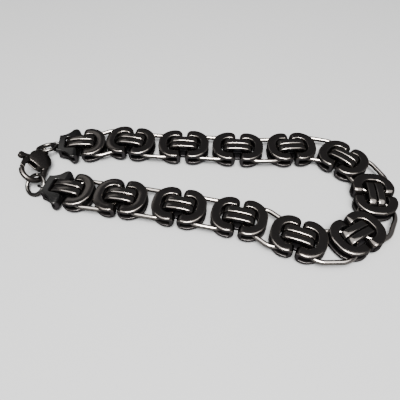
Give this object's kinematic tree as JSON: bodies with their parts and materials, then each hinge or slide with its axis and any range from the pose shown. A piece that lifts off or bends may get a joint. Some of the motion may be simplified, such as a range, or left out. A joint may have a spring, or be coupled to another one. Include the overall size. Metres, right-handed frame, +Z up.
{
  "type": "byzantine chain bracelet",
  "caption": "Flat byzantine chain bracelet in polished dark steel, closed in a loop by a lobster clasp and lying on a surface.",
  "frame": {"origin": "middle of the loop on the surface that it lies on", "axes": "+X along the strands, away from the clasp; +Z up from the surface"},
  "size_m": [0.1026, 0.0438, 0.0073],
  "materials": {
    "dark_steel": "polished blackened steel",
    "polished_wire": "polished blackened steel wire"
  },
  "bodies": {
    "chain": {"knot_01": "dark_steel", "knot_02": "dark_steel", "knot_03": "dark_steel", "knot_04": "dark_steel", "knot_05": "dark_steel", "knot_06": "dark_steel", "knot_07": "dark_steel", "knot_08": "dark_steel", "knot_09": "dark_steel", "knot_10": "dark_steel", "knot_11": "dark_steel", "knot_12": "dark_steel", "knot_13": "dark_steel", "rail_01": "polished_wire", "rail_02": "polished_wire", "rail_03": "polished_wire", "rail_04": "polished_wire", "rail_05": "polished_wire", "rail_06": "polished_wire", "rail_07": "polished_wire", "rail_08": "polished_wire", "rail_09": "polished_wire", "rail_10": "polished_wire", "rail_11": "polished_wire", "rail_12": "polished_wire", "end_cover_a": "dark_steel", "end_cover_b": "dark_steel", "jump_ring_a": "polished_wire", "jump_ring_b": "polished_wire", "clasp_body": "dark_steel"},
    "lever": {"clasp_lever": "dark_steel"}
  },
  "joints": [
    {"name": "lever_hinge", "type": "hinge", "parent": "chain", "child": "lever", "pos_m": [-0.04818, 0.00053, 0.00439], "axis": [0.6239, 0.1252, 0.7714], "range_deg": [0, 25], "stiffness_Nm_per_rad": 0.008, "springref_deg": -17.19}
  ]
}
